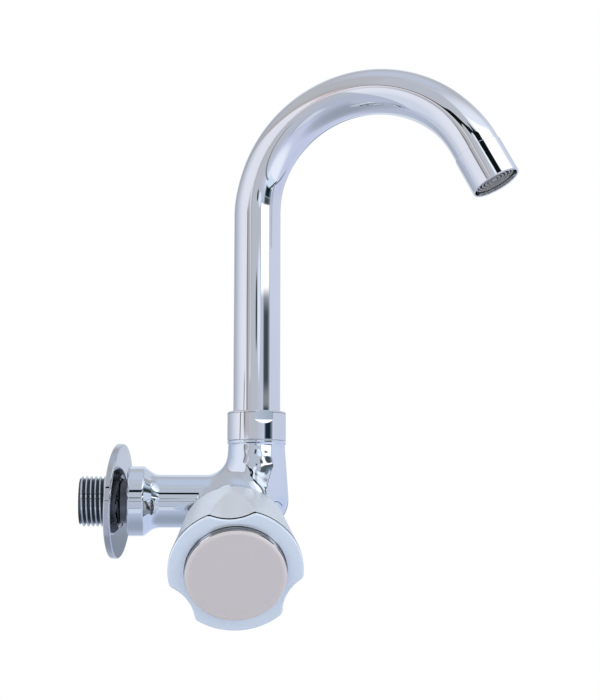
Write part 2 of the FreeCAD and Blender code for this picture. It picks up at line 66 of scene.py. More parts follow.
# Places of the turned pieces, each about its own Z
INLET = Matrix.Rotation(math.radians(90), 4, "Y")
VALVE = Matrix.Translation((VALVE_X, 0, 0)) @ Matrix.Rotation(math.radians(90) + VALVE_TILT, 4, "X")
OUTLET = Matrix.Translation((OUTLET_X, 0, 0))
UPRIGHT = OUTLET @ Matrix.Rotation(SWING, 4, "Z")
bend_end, seam_direction = bend_place(BEND)
SEAM_POINT = bend_end + TUBE_END * seam_direction
SEAM = UPRIGHT @ Matrix.Translation(SEAM_POINT) @ Matrix.Rotation(BEND, 4, "Y")


def in_scene(name, data):
    """A new object in the scene."""
    thing = bpy.data.objects.new(name, data)
    bpy.context.scene.collection.objects.link(thing)
    return thing


# Camera, in metres
CAMERA_PLACE = Vector((0.03805, -0.57505, -0.01284))
CAMERA_AIM = Vector((0.0634, 0.9895, 0.1296)).normalized()

camera_data = bpy.data.cameras.new("camera")
camera_data.sensor_width = 36
camera_data.lens = 72
camera_data.clip_start = 0.01
camera = in_scene("camera", camera_data)
level = CAMERA_AIM.cross(Vector((0, 0, 1))).normalized()
axes = Matrix((level, level.cross(CAMERA_AIM), -CAMERA_AIM)).transposed()
camera.matrix_world = Matrix.Translation(CAMERA_PLACE) @ axes.to_4x4()
bpy.context.scene.camera = camera


# Materials: depths in metres, and noise scales per metre
GRAIN_SCALE = 2500.0
GRAIN_DEPTH = 0.00002
SPECKLE_SCALE = 900.0
SPECKLE_DEPTH = 0.00003


class Nodes:
    """A short way to write a node tree."""

    def __init__(self, tree):
        self.tree = tree
        self.tree.nodes.clear()

    def make(self, kind, **settings):
        node = self.tree.nodes.new(kind)
        for name, value in settings.items():
            setattr(node, name, value)
        return node

    def put(self, socket, value):
        if isinstance(value, bpy.types.NodeSocket):
            self.tree.links.new(value, socket)
        else:
            socket.default_value = value

    def math(self, operation, a, b=0.0):
        node = self.make("ShaderNodeMath", operation=operation)
        self.put(node.inputs[0], a)
        self.put(node.inputs[1], b)
        return node.outputs[0]

    def plus(self, a, b):
        return self.math("ADD", a, b)

    def minus(self, a, b):
        return self.math("SUBTRACT", a, b)

    def times(self, a, b):
        return self.math("MULTIPLY", a, b)

    def absolute(self, a):
        return self.math("ABSOLUTE", a)

    def ramp(self, value, low, high, start=0.0, end=1.0):
        """A smooth change from start to end while value goes from low to high."""
        node = self.make("ShaderNodeMapRange", interpolation_type="SMOOTHSTEP")
        for socket, number in zip(node.inputs[:5], (value, low, high, start, end)):
            self.put(socket, number)
        return node.outputs[0]

    def mix(self, factor, a, b):
        node = self.make("ShaderNodeMix", data_type="RGBA")
        self.put(node.inputs[0], factor)
        self.put(node.inputs[6], a)
        self.put(node.inputs[7], b)
        return node.outputs[2]

    def noise(self, vector, scale, detail):
        node = self.make("ShaderNodeTexNoise")
        self.put(node.inputs["Vector"], vector)
        self.put(node.inputs["Scale"], scale)
        self.put(node.inputs["Detail"], detail)
        return node.outputs["Fac"]

    def place(self):
        """The place in the object's own space, in metres."""
        return self.make("ShaderNodeTexCoord").outputs["Object"]

    def split(self, vector):
        node = self.make("ShaderNodeSeparateXYZ")
        self.put(node.inputs[0], vector)
        return node.outputs

    def bump(self, shader, height, strength, depth):
        node = self.make("ShaderNodeBump")
        self.put(node.inputs["Strength"], strength)
        self.put(node.inputs["Distance"], depth)
        self.put(node.inputs["Height"], height)
        self.put(shader.inputs["Normal"], node.outputs[0])


def new_material(name, shader_kind):
    """A material with one shader, and its nodes and that shader."""
    material = bpy.data.materials.new(name)
    material.use_nodes = True
    n = Nodes(material.node_tree)
    shader = n.make(shader_kind)
    n.put(n.make("ShaderNodeOutputMaterial").inputs[0], shader.outputs[0])
    return material, n, shader


def metal(name, colour, darker, low, high, cloud=60.0, shine=1.0, grain=0.0, change=None):
    """A metal whose colour and roughness vary slightly in soft clouds, with an optional fine grain.

    change takes the nodes, the place and the colour, and gives the colour to use.
    """
    material, n, shader = new_material(name, "ShaderNodeBsdfPrincipled")
    shader.inputs["Metallic"].default_value = shine
    place = n.place()
    clouds = n.noise(place, cloud, 3.0)
    paint = n.mix(n.ramp(clouds, 0.35, 0.65), (*colour, 1), (*darker, 1))
    n.put(shader.inputs["Base Color"], change(n, place, paint) if change else paint)
    n.put(shader.inputs["Roughness"], n.ramp(clouds, 0.3, 0.7, low, high))
    if grain:
        n.bump(shader, n.noise(place, GRAIN_SCALE, 2.0), grain, GRAIN_DEPTH)
    return material


def plain(name, colour, darker, rough):
    """A matt plastic, rubber or fibre with a slightly uneven surface."""
    material, n, shader = new_material(name, "ShaderNodeBsdfPrincipled")
    speckle = n.noise(n.place(), SPECKLE_SCALE, 3.0)
    n.put(shader.inputs["Base Color"], n.mix(n.ramp(speckle, 0.3, 0.7), (*colour, 1), (*darker, 1)))
    n.put(shader.inputs["Roughness"], n.ramp(speckle, 0.3, 0.7, rough - 0.06, rough + 0.06))
    n.bump(shader, speckle, 0.4, SPECKLE_DEPTH)
    return material


def painted_root_shade(n, place, paint):
    """Painted shade in the thread's grooves: the colour goes dark towards the roots, and the crests keep the
    bright metal.
    """
    x, y, z = n.split(place)
    radius = n.math("SQRT", n.plus(n.times(y, y), n.times(z, z)))
    depth = n.ramp(radius, (CREST_R - 0.9) * MM, (CREST_R - 0.08) * MM)
    return n.mix(depth, (0.08, 0.10, 0.115, 1), paint)


def painted_rim_light(n, place, paint):
    """Paints light and shade on the cap's side: its dark colour is painted shade towards its top, with two
    painted highlights, and a painted lighter colour lower down.

    The angles around the cap are in degrees, from its highest point.
    """
    x, y, z = n.split(place)
    lift = n.minus(n.times(z, math.cos(VALVE_TILT)), n.times(y, math.sin(VALVE_TILT)))
    angle = n.times(n.math("ARCTAN2", n.minus(x, VALVE_X * MM), lift), DEGREE)
    # Two painted highlights, each given by its centre and half width in degrees
    for centre, half in ((-37.0, 11.0), (46.0, 9.0)):
        away = n.absolute(n.minus(angle, centre))
        paint = n.mix(n.ramp(away, half * 0.3, half, 0.95, 0.0), paint, (0.95, 0.94, 0.94, 1))
    # A painted lighter colour on the lower part of the cap's side
    return n.mix(n.ramp(n.absolute(angle), 72.0, 88.0), paint, (0.9, 0.88, 0.88, 1))


CHROME = metal("chrome", (0.90, 0.905, 0.915), (0.88, 0.887, 0.90), 0.015, 0.03)
CHROME_CAST = metal("chrome_cast", (0.875, 0.92, 0.97), (0.85, 0.90, 0.95), 0.02, 0.04, cloud=90.0)
CHROME_FLANGE = metal("chrome_flange", (0.69, 0.705, 0.725), (0.66, 0.675, 0.70), 0.03, 0.05, cloud=90.0)
# The relief beside the thread: a dark colour that stands for the shade in the gap behind the flange
RELIEF = metal("relief", (0.17, 0.18, 0.195), (0.12, 0.125, 0.14), 0.30, 0.42, cloud=120.0)
# The thread's metal: its grooves get painted shade, darker towards the roots
THREAD_METAL = metal("thread_metal", (0.84, 0.88, 0.90), (0.76, 0.80, 0.83), 0.05, 0.10, cloud=400.0,
                     change=painted_root_shade)
KNOB_SKIRT = metal("knob_skirt", (0.77, 0.81, 0.85), (0.75, 0.79, 0.83), 0.26, 0.32, cloud=70.0, shine=0.6)
KNOB_RING = metal("knob_ring", (0.79, 0.865, 0.965), (0.77, 0.845, 0.945), 0.10, 0.15, cloud=70.0, shine=0.45)
# A near-black painted shade for the narrow seams and grooves of the knob, the nut and the cap
PAINTED_GROOVE_SHADE = metal("painted_groove_shade", (0.03, 0.03, 0.032), (0.06, 0.055, 0.05), 0.25, 0.35, cloud=400.0)
SATIN = metal("satin", (0.70, 0.647, 0.637), (0.694, 0.64, 0.63), 0.28, 0.30, cloud=30.0, shine=0.45)
# The bevel: its smoother satin is real, and its lighter colour is a painted highlight
SATIN_EDGE = metal("satin_edge", (0.76, 0.70, 0.68), (0.74, 0.68, 0.66), 0.2, 0.26, cloud=45.0, shine=0.45)
# The cap's side: its dark colour is painted shade, and its highlights are painted too
RIM = metal("cap_rim", (0.36, 0.35, 0.34), (0.27, 0.265, 0.26), 0.05, 0.09, cloud=200.0, change=painted_rim_light)
PLATED = metal("plated_brass", (0.78, 0.77, 0.74), (0.70, 0.69, 0.66), 0.14, 0.24, cloud=150.0)
BRASS = metal("brass", (0.75, 0.58, 0.30), (0.66, 0.50, 0.25), 0.22, 0.36, cloud=150.0, grain=0.3)
STEEL = metal("steel", (0.60, 0.60, 0.61), (0.52, 0.52, 0.53), 0.22, 0.34, cloud=300.0, grain=0.2)
RUBBER = plain("rubber", (0.025, 0.025, 0.026), (0.04, 0.04, 0.042), 0.62)
FIBRE = plain("fibre", (0.16, 0.15, 0.14), (0.11, 0.105, 0.10), 0.75)
PACKING = plain("packing", (0.42, 0.42, 0.40), (0.33, 0.33, 0.32), 0.8)
GREY_PLASTIC = plain("grey_plastic", (0.30, 0.305, 0.31), (0.25, 0.255, 0.26), 0.34)
WHITE_PLASTIC = plain("white_plastic", (0.82, 0.82, 0.80), (0.76, 0.76, 0.74), 0.42)


# Mesh helpers
LATHE_TURNS = 240


def rounded(points, steps=7):
    """(radius, height) points from (radius, height, rounding) corners of an open or closed line."""
    made = []
    count = len(points)
    for i, (r, z, size) in enumerate(points):
        here = Vector((r, z))
        if not size:
            made.append((r, z))
            continue
        before = (Vector(points[i - 1][:2]) - here).normalized()
        after = (Vector(points[(i + 1) % count][:2]) - here).normalized()
        half = before.angle(after) / 2
        back = size / math.tan(half)
        centre = here + (before + after).normalized() * (size / math.sin(half))
        first = here + before * back
        last = here + after * back
        start = math.atan2(first.y - centre.y, first.x - centre.x)
        sweep = math.atan2(last.y - centre.y, last.x - centre.x) - start
        sweep = (sweep + math.pi) % (2 * math.pi) - math.pi
        for k in range(steps + 1):
            angle = start + sweep * k / steps
            made.append((centre.x + size * math.cos(angle), centre.y + size * math.sin(angle)))
    return made


def finish_mesh(mesh, materials, body, nodes, place, pick=None, sharp=28.0, weighted=True):
    """Puts a mesh in the scene: shaded, placed, riding on its body and standing for its CAD nodes.

    pick takes a face, still in millimetres, and its distance from the Z axis. It gives the number of the
    face's material.
    """
    for material in materials:
        mesh.materials.append(material)
    for face in mesh.polygons:
        face.use_smooth = True
        if pick:
            face.material_index = pick(face, math.hypot(face.center.x, face.center.y))
    mesh.transform(Matrix.Scale(MM, 4) @ place)
    mesh.set_sharp_from_angle(angle=math.radians(sharp))
    thing = in_scene(mesh.name, mesh)
    if weighted:
        modifier = thing.modifiers.new("normals", "WEIGHTED_NORMAL")
        modifier.keep_sharp = True
        modifier.weight = 90
    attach(thing, body)
    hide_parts(*nodes)


def full_turn(count):
    """Evenly spaced angles around a circle."""
    return [2 * math.pi * i / count for i in range(count)]


def circle(r, z, angles):
    """Points of a level circle at the given angles."""
    return [(r * math.cos(t), r * math.sin(t), z) for t in angles]


def uneven_circle(radii, heights, angles):
    """Points at the given angles, each with its own radius and height."""
    return [(r * math.cos(t), r * math.sin(t), z) for r, z, t in zip(radii, heights, angles)]


def rings_mesh(name, rings, closed=True):
    """A mesh from rings of equally many points; a ring of one point is a pole."""
    mesh = bpy.data.meshes.new(name)
    bm = bmesh.new()
    rows = [[bm.verts.new(p) for p in ring] for ring in rings]
    pairs = list(zip(rows, rows[1:]))
    if closed:
        pairs.append((rows[-1], rows[0]))
    for a, b in pairs:
        count = max(len(a), len(b))
        if count == 1:
            continue
        for i in range(count):
            j = (i + 1) % count
            unique = []
            for corner in (a[i % len(a)], a[j % len(a)], b[j % len(b)], b[i % len(b)]):
                if corner not in unique:
                    unique.append(corner)
            if len(unique) > 2:
                bm.faces.new(unique)
    bmesh.ops.recalc_face_normals(bm, faces=bm.faces)
    bm.to_mesh(mesh)
    bm.free()
    return mesh


def lathe(name, profile, turns=LATHE_TURNS, closed=True):
    """A mesh turned about Z from (radius, height) points."""
    angles = full_turn(turns)
    rings = [[(0, 0, z)] if r < 1e-6 else circle(r, z, angles) for r, z in profile]
    return rings_mesh(name, rings, closed)


# Spout tube
TUBE_WALL = 1.0
TUBE_TURNS = 144
BEND_STEPS = 150
STRAIGHT_MARKS = (33.6, 60, 90, 112, BEND_START)
FLATTENING = 0.42
FLATTENING_BLEND = 0.35


def spout_stations():
    """(point, direction, share of flattening) along the spout's centre line, in its own XZ plane."""
    stations = [(Vector((0, 0, z)), Vector((0, 0, 1)), 0.0) for z in STRAIGHT_MARKS]
    for i in range(1, BEND_STEPS + 1):
        t = BEND * i / BEND_STEPS
        share = min(1.0, t / FLATTENING_BLEND, (BEND - t) / FLATTENING_BLEND)
        stations.append((*bend_place(t), share * share * (3 - 2 * share)))
    stations.append((SEAM_POINT, seam_direction, 0.0))
    return stations


def swept(radius):
    """Rings of the given radius along the spout, slightly flattened in the bend's plane."""
    across = Vector((0, 1, 0))
    rings = []
    for point, direction, share in spout_stations():
        side = Vector((direction.z, 0, -direction.x))
        reach = radius - FLATTENING * share
        ring = []
        for t in full_turn(TUBE_TURNS):
            ring.append(point + side * (reach * math.cos(t)) + across * (radius * math.sin(t)))
        rings.append(ring)
    return rings


tube_rings = swept(TUBE_R) + swept(TUBE_R - TUBE_WALL)[::-1]
finish_mesh(rings_mesh("spout_tube_skin", tube_rings), (CHROME,), "spout", ["spout_tube"],
            UPRIGHT, weighted=False)

# Aerator sleeve, with the plug that goes into the tube
SLEEVE_R = 10.07
SLEEVE_END = 15.7
SLEEVE_TURNS = 180
MOUTH_R = 10.13
MOUTH_BORE = 9.3
PLUG_R = 8.5
PLUG_BORE = 7.4
PLUG_START = -6.0
PLUG_STOP = 1.6

housing = rounded([
    (PLUG_BORE, PLUG_START, 0), (PLUG_R, PLUG_START, 0), (PLUG_R, 0.0, 0), (SLEEVE_R, 0.0, 0.27),
    (MOUTH_R, SLEEVE_END, 0.42), (MOUTH_BORE, SLEEVE_END, 0.36), (MOUTH_BORE, PLUG_STOP, 0),
    (PLUG_BORE, PLUG_STOP, 0),
])
finish_mesh(lathe("aerator_sleeve", housing, SLEEVE_TURNS), (CHROME,), "spout",
            ["aerator_housing"], SEAM)

# The casting's blended middle: neck, outlet and valve boss, between the lathe-turned ends
NECK_R = 10.7
NECK_SPLIT = 22.5
BALL_R = 13.2
BALL_Z = 1.0
OUTLET_TOP = 24.6
OUTLET_TOP_R = 11.5
OUTLET_SPLIT = 21.9
OUTLET_BORE = 8.4
OUTLET_FILLET = 8.0
OUTLET_OVERLAP = 0.3
BOSS_R = 13.2
BOSS_TAPER = 2.2
BOSS_END = 20.0
BOSS_SPLIT = 16.2
BOSS_BACK_ROUND = 6.0
BOSS_FILLET = 4.0
BOSS_OVERLAP = 0.4
TUCK = 0.02
WAVE = 0.055
WAVE_LEFT = 45.0
WAVE_RIGHT = 65.0
WAVE_FRONT = -3.0
FADE_LEFT = 6.0
FADE_RIGHT = 5.0
FADE_TOP = 3.0
FADE_FRONT = 4.0
WAVE_TURNS = 0.8
CORE_LOW = (21.5, -26.0, -19.0)
CORE_HIGH = (71.5, 15.0, 23.5)
CORE_CELL = 0.5
CORE_ROUNDS = 4
LEAST_STEEPNESS = 0.2
GRADIENT_STEP = 0.02
outlet_rise = OUTLET_TOP - BALL_Z
outlet_slant = math.hypot(outlet_rise, OUTLET_TOP_R)
outlet_lean = math.atan2(outlet_rise, OUTLET_TOP_R) - math.acos(BALL_R / outlet_slant)


def round_union(a, b, radius):
    """The union of two distance fields, with a hollow fillet of the given radius between them."""
    hollow = np.hypot(np.maximum(radius - a, 0), np.maximum(radius - b, 0))
    return np.maximum(radius, np.minimum(a, b)) - hollow


def fade(distance, width):
    """0 where the distance is negative, and 1 from the width on."""
    return np.clip(distance / width, 0, 1)


def waviness(x, y, z):
    """The faint unevenness of the outlet's hand-polished front."""
    share = fade(x - WAVE_LEFT, FADE_LEFT) * fade(WAVE_RIGHT - x, FADE_RIGHT)
    share = share * fade(OUTLET_SPLIT - z, FADE_TOP) * fade(WAVE_FRONT - y, FADE_FRONT)
    across = np.sin(WAVE_TURNS * x + 0.25 * z + 1.5)
    return WAVE * share * across * np.cos(WAVE_TURNS * z - 0.3 * y + 0.9)


def boss_height(p):
    """How far points are along the valve's axis."""
    return -p[..., 1] * math.cos(VALVE_TILT) - p[..., 2] * math.sin(VALVE_TILT)


def outlet_distance(x, y, z):
    """How far points are outside the outlet: a ball with a cone on it."""
    out = np.hypot(x - OUTLET_X, y)
    up = z - BALL_Z
    cone = out * math.cos(outlet_lean) + up * math.sin(outlet_lean) - BALL_R
    above = up * math.cos(outlet_lean) > out * math.sin(outlet_lean)
    return np.where(above, cone, np.hypot(out, up) - BALL_R)


def boss_distance(x, y, z, along):
    """How far points are outside the valve boss, which tapers to its rounded back."""
    side = np.hypot(x - VALVE_X, z * math.cos(VALVE_TILT) - y * math.sin(VALVE_TILT))
    side = side - BOSS_R + BOSS_TAPER * np.clip(1 - along / BOSS_SPLIT, 0, 1)
    past_side = side + BOSS_BACK_ROUND
    past_back = BOSS_BACK_ROUND - along
    boss = np.hypot(np.maximum(past_side, 0), np.maximum(past_back, 0)) - BOSS_BACK_ROUND
    return boss + np.minimum(np.maximum(past_side, past_back), 0)


def casting_distance(p):
    """How far points are outside the blended neck, outlet and boss."""
    x, y, z = p[..., 0], p[..., 1], p[..., 2]
    neck = np.maximum(np.hypot(y, z) - NECK_R, x - OUTLET_X)
    blended = round_union(neck, outlet_distance(x, y, z), OUTLET_FILLET)
    blended = round_union(blended, boss_distance(x, y, z, boss_height(p)), BOSS_FILLET)
    return blended + TUCK + waviness(x, y, z)


def gradient(p):
    """The direction in which the distance grows, at each point."""
    steps = np.eye(3) * GRADIENT_STEP
    change = [casting_distance(p + s) - casting_distance(p - s) for s in steps]
    return np.stack(change, 1) / (2 * GRADIENT_STEP)


def net_surface(low, high, cell):
    """Points and quads of the casting's surface in a box, from the cells of a grid that it passes through."""
    low = np.array(low)
    counts = np.ceil((np.array(high) - low) / cell).astype(int) + 1
    axes = [low[i] + cell * np.arange(counts[i]) for i in range(3)]
    value = casting_distance(np.stack(np.meshgrid(*axes, indexing="ij"), -1))
    inside = value < 0
    corners = list(np.ndindex(2, 2, 2))
    hits = np.zeros(counts - 1, int)
    for i, j, k in corners:
        hits += inside[i:i + counts[0] - 1, j:j + counts[1] - 1, k:k + counts[2] - 1]
    active = (hits > 0) & (hits < 8)
    cells = np.argwhere(active)
    number = np.full(active.shape, -1)
    number[active] = np.arange(len(cells))
    total = np.zeros((len(cells), 3))
    found = np.zeros(len(cells))
    for a in corners:
        for axis in range(3):
            if a[axis]:
                continue
            step = np.eye(3, dtype=int)[axis]
            first = cells + a
            value_a = value[tuple(first.T)]
            value_b = value[tuple((first + step).T)]
            crossed = (value_a < 0) != (value_b < 0)
            share = value_a / np.where(crossed, value_a - value_b, 1)
            total[crossed] += (low + cell * (first + share[:, None] * step))[crossed]
            found[crossed] += 1
    points = total / found[:, None]
    quads = []
    for axis in range(3):
        near = [slice(None)] * 3
        far = [slice(None)] * 3
        near[axis] = slice(0, -1)
        far[axis] = slice(1, None)
        edges = np.argwhere(inside[tuple(near)] != inside[tuple(far)])
        second, third = (axis + 1) % 3, (axis + 2) % 3
        kept = (edges[:, second] > 0) & (edges[:, third] > 0)
        kept &= (edges[:, second] < counts[second] - 1) & (edges[:, third] < counts[third] - 1)
        edges = edges[kept]
        u, w = np.eye(3, dtype=int)[second], np.eye(3, dtype=int)[third]
        around = (edges - u - w, edges - w, edges, edges - u)
        quad = np.stack([number[tuple(c.T)] for c in around], 1)
        turned = ~inside[tuple(edges.T)]
        quad[turned] = quad[turned][:, ::-1]
        quads.append(quad)
    return points, np.concatenate(quads)


def casting_core():
    """The blended middle of the casting, with exact normals."""
    points, quads = net_surface(CORE_LOW, CORE_HIGH, CORE_CELL)
    for _ in range(CORE_ROUNDS):
        slope = gradient(points)
        steepness = np.maximum((slope ** 2).sum(1), LEAST_STEEPNESS)
        points = points - (casting_distance(points) / steepness)[:, None] * slope
    middle = points[quads].mean(1)
    kept = middle[:, 2] < OUTLET_SPLIT + OUTLET_OVERLAP
    kept &= boss_height(middle) < BOSS_SPLIT + BOSS_OVERLAP
    quads = quads[kept]
    used = np.unique(quads)
    fresh = np.full(len(points), -1)
    fresh[used] = np.arange(len(used))
    points = points[used]
    mesh = bpy.data.meshes.new("casting_core")
    mesh.from_pydata((points * MM).tolist(), [], fresh[quads].tolist())
    mesh.polygons.foreach_set("use_smooth", [True] * len(mesh.polygons))
    slope = gradient(points)
    mesh.normals_split_custom_set_from_vertices((slope / np.linalg.norm(slope, axis=1)[:, None]).tolist())
    mesh.materials.append(CHROME_CAST)
    return mesh


core = in_scene("casting_core", casting_core())
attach(core, "tap_body")
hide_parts("body_casting")

# The casting's shoulder, from the relief beside the thread to the neck
RELIEF_R = 8.9
RELIEF_START = 2.0
SHOULDER_START = 4.9
SHOULDER_R = 14.1
SHOULDER_END = 11.4
NECK_START = 15.9
NECK_BORE = 6.7

shoulder = rounded([
    (RELIEF_R, RELIEF_START, 0), (RELIEF_R, SHOULDER_START, 0.15), (SHOULDER_R, SHOULDER_START, 1.1),
    (SHOULDER_R, SHOULDER_END, 1.6), (NECK_R, NECK_START, 6.5), (NECK_R, NECK_SPLIT, 0),
    (NECK_BORE, NECK_SPLIT, 0), (NECK_BORE, RELIEF_START, 0),
], 12)


def shoulder_part(face, radius):
    """1 in the relief beside the thread, dark with painted shade, and 0 on the shoulder."""
    return 1 if face.center.z < SHOULDER_START + 0.02 else 0


finish_mesh(lathe("casting_shoulder", shoulder), (CHROME_CAST, RELIEF), "tap_body",
            ["body_casting"], INLET, shoulder_part)

# The casting's outlet, above the blended middle
OUTLET_EDGE = 22.9
COLLAR_R = 12.0
COLLAR_BOTTOM = 23.5
TOWER_R = 10.75
TOWER_TOP = 32.0
OUTLET_FLOOR = 12.0


def outlet_radius(z):
    """The outlet's radius at a height above its ball."""
    return (BALL_R - (z - BALL_Z) * math.sin(outlet_lean)) / math.cos(outlet_lean)


outlet_rim = rounded([
    (outlet_radius(OUTLET_SPLIT), OUTLET_SPLIT, 0), (outlet_radius(OUTLET_EDGE), OUTLET_EDGE, 0.9),
    (COLLAR_R, COLLAR_BOTTOM, 0.25), (COLLAR_R, OUTLET_TOP, 0.5), (TOWER_R, OUTLET_TOP, 0),
    (TOWER_R, TOWER_TOP, 0.5), (OUTLET_BORE, TOWER_TOP, 0.3), (OUTLET_BORE, OUTLET_FLOOR, 0),
    (0, OUTLET_FLOOR, 0),
])
finish_mesh(lathe("casting_outlet", outlet_rim, closed=False), (CHROME_CAST,), "tap_body",
            ["body_casting"], OUTLET)

# The casting's valve boss, with the valve's seat inside
BOSS_BORE = 9.0
BOSS_FLOOR = 4.2
SEAT_RING_R = 5.6
SEAT_RING_TOP = 5.2
SEAT_BORE = 4.6
SEAT_BOTTOM = 2.2

boss_rim = rounded([
    (BOSS_R, BOSS_SPLIT, 0), (BOSS_R, BOSS_END, 0.9), (BOSS_BORE, BOSS_END, 0.4), (BOSS_BORE, BOSS_FLOOR, 0),
    (SEAT_RING_R, BOSS_FLOOR, 0), (SEAT_RING_R, SEAT_RING_TOP, 0.2), (SEAT_BORE, SEAT_RING_TOP, 0.2),
    (SEAT_BORE, SEAT_BOTTOM, 0), (0, SEAT_BOTTOM, 0),
])
finish_mesh(lathe("casting_boss", boss_rim, closed=False), (CHROME_CAST,), "tap_body",
            ["body_casting"], VALVE)

# The inlet thread, with its end face and bore
PITCH = 1.814
THREAD_TURNS = range(-1, 10)
THREAD_STEPS = 120
THREAD_END = -14.4
THREAD_STOP = 2.2
THREAD_MARKS = ((0.11, 0), (0.40, 1.06), (0.50, 1.14), (0.60, 1.06), (0.89, 0))
THREAD_CHAMFER = 1.0
RUN_OUT_SLOPE = 1.5
INLET_BORE = 6.5
INLET_BORE_END = 34.0
PASSAGE_R = 3.8
PASSAGE_END = 45.0
SAME_PLACE = 0.0005


def thread_column(i):
    """The thread's points at one step of a turn, from its chamfered end to its run-out at the relief."""
    theta = 2 * math.pi * i / THREAD_STEPS
    column = []
    for k in THREAD_TURNS:
        for share, depth in THREAD_MARKS:
            z = THREAD_END + PITCH * (k + share + i / THREAD_STEPS)
            z = min(max(z, THREAD_END), THREAD_STOP)
            chamfer = CREST_R - THREAD_CHAMFER + (z - THREAD_END)
            run_out = RELIEF_R + (THREAD_STOP - z) * RUN_OUT_SLOPE
            r = min(CREST_R - depth, chamfer, run_out)
            column.append((r * math.cos(theta), r * math.sin(theta), z))
    return column


def join_rows(bm, rows, closed):
    """Quads between rows of equally many points; a closed row goes on from its last point to its first."""
    rows = [[bm.verts.new(p) for p in row] for row in rows]
    for a, b in zip(rows, rows[1:]):
        for i in range(len(a) if closed else len(a) - 1):
            j = (i + 1) % len(a)
            bm.faces.new((a[i], b[i], b[j], a[j]))


def thread_mesh():
    """The helical thread about Z, with the end face and the bore behind it."""
    mesh = bpy.data.meshes.new("inlet_thread")
    bm = bmesh.new()
    join_rows(bm, [thread_column(i) for i in range(THREAD_STEPS + 1)], False)
    bore = rounded([
        (CREST_R - THREAD_CHAMFER, THREAD_END, 0), (INLET_BORE, THREAD_END, 0.5),
        (INLET_BORE, INLET_BORE_END, 0), (PASSAGE_R, INLET_BORE_END + 0.5, 0), (PASSAGE_R, PASSAGE_END, 0),
        (0.01, PASSAGE_END, 0),
    ])
    join_rows(bm, [circle(r, z, full_turn(THREAD_STEPS)) for r, z in bore], True)
    bmesh.ops.remove_doubles(bm, verts=bm.verts, dist=SAME_PLACE)
    bmesh.ops.dissolve_degenerate(bm, edges=bm.edges, dist=SAME_PLACE)
    bm.to_mesh(mesh)
    bm.free()
    return mesh


def inlet_part(face, radius):
    """1 in the bore and on the end face, and 0 on the thread."""
    end_face = face.center.z < THREAD_END + 0.4 and abs(face.normal.z) > 0.5
    return 1 if radius < INLET_BORE + 0.1 or end_face else 0


finish_mesh(thread_mesh(), (THREAD_METAL, PLATED), "tap_body", ["body_casting"], INLET,
            inlet_part, sharp=50.0, weighted=False)

# The spout nut
NUT_R = 12.1
NUT_BORE = 10.8
LIP_R = 9.85
LIP_BOTTOM = 34.6
FLAT_TURN = math.radians(-77.0)
FLAT_HALF = math.radians(18.75)
LEDGE_Z = 32.6
LEDGE_TILT = math.radians(23.0)
NUT_LINE = NUT_TOP - 0.95
LINE_WIDTH = 0.16
LINE_DEPTH = 0.1
THIN = 0.05
flat_distance = NUT_R * math.cos(FLAT_HALF)


def nut_reach(angle):
    """The nut's radius at an angle, at the height of its flats."""
    off = (angle - FLAT_TURN + math.pi / 2) % math.pi - math.pi / 2
    return flat_distance / math.cos(off) if abs(off) < FLAT_HALF - 1e-6 else NUT_R


def nut_rings():
    """Rings of the nut, with its two spanner flats, each with a sloping crescent under it."""
    lower = rounded([(NUT_BORE, NUT_BOTTOM, 0), (NUT_R, NUT_BOTTOM, 0.2), (NUT_R, LEDGE_Z, 0)])[1:-1]
    upper = rounded([
        (NUT_R, LEDGE_Z, 0), (NUT_R, NUT_LINE, 0), (NUT_R - LINE_DEPTH, NUT_LINE + 0.06, 0),
        (NUT_R - THIN, NUT_LINE + LINE_WIDTH, 0), (NUT_R - THIN, NUT_TOP, 0.7), (LIP_R, NUT_TOP, 0.12),
        (LIP_R, LIP_BOTTOM, 0), (NUT_BORE, LIP_BOTTOM, 0), (NUT_BORE, NUT_BOTTOM, 0),
    ], 9)[1:]
    turns = LATHE_TURNS
    angles = [FLAT_TURN + FLAT_HALF + t for t in full_turn(turns)]
    faces = [nut_reach(t) for t in angles]
    slopes = [LEDGE_Z - (NUT_R - reach) / math.tan(LEDGE_TILT) for reach in faces]
    rings = [circle(r, z, angles) for r, z in lower]
    rings.append(uneven_circle([NUT_R] * turns, [z - THIN for z in slopes], angles))
    rings.append(uneven_circle([NUT_R] * turns, slopes, angles))
    rings.append(uneven_circle(faces, [LEDGE_Z] * turns, angles))
    rings.append(uneven_circle(faces, [LEDGE_Z + THIN] * turns, angles))
    for r, z in upper:
        cut = r > LIP_R + THIN and z > LEDGE_Z
        rings.append(uneven_circle([min(r, reach) if cut else r for reach in faces], [z] * turns, angles))
    return rings


def nut_part(face, radius):
    """1 in the thin groove line under the nut's top edge, which is painted dark as shade, and 0 elsewhere."""
    in_line = NUT_LINE < face.center.z < NUT_LINE + LINE_WIDTH
    return 1 if in_line and radius > NUT_R - 2 * LINE_DEPTH else 0


finish_mesh(rings_mesh("spout_nut_skin", nut_rings()), (CHROME, PAINTED_GROOVE_SHADE), "tap_body",
            ["spout_nut"], OUTLET, nut_part, sharp=14.0)

# Wall flange, leaning on the thread
FLANGE_R = 23.2
FLANGE_BORE = 10.8
FLANGE_HALF = 1.4
FLANGE_X = 1.05
FLANGE_LEAN = math.radians(-7.8)
FLANGE_TIP = math.radians(2.8)
FLANGE = Matrix.Translation((FLANGE_X, 0, 0)) @ Matrix.Rotation(FLANGE_LEAN, 4, "Z")
FLANGE = FLANGE @ Matrix.Rotation(FLANGE_TIP, 4, "Y") @ INLET

flange = rounded([
    (FLANGE_BORE, -FLANGE_HALF, 0.15), (FLANGE_R, -FLANGE_HALF, 0.55),
    (FLANGE_R, FLANGE_HALF, 0.7), (FLANGE_BORE, FLANGE_HALF, 0.15),
])
finish_mesh(lathe("flange_disc", flange), (CHROME_FLANGE,), "flange", ["wall_flange"],
            FLANGE)
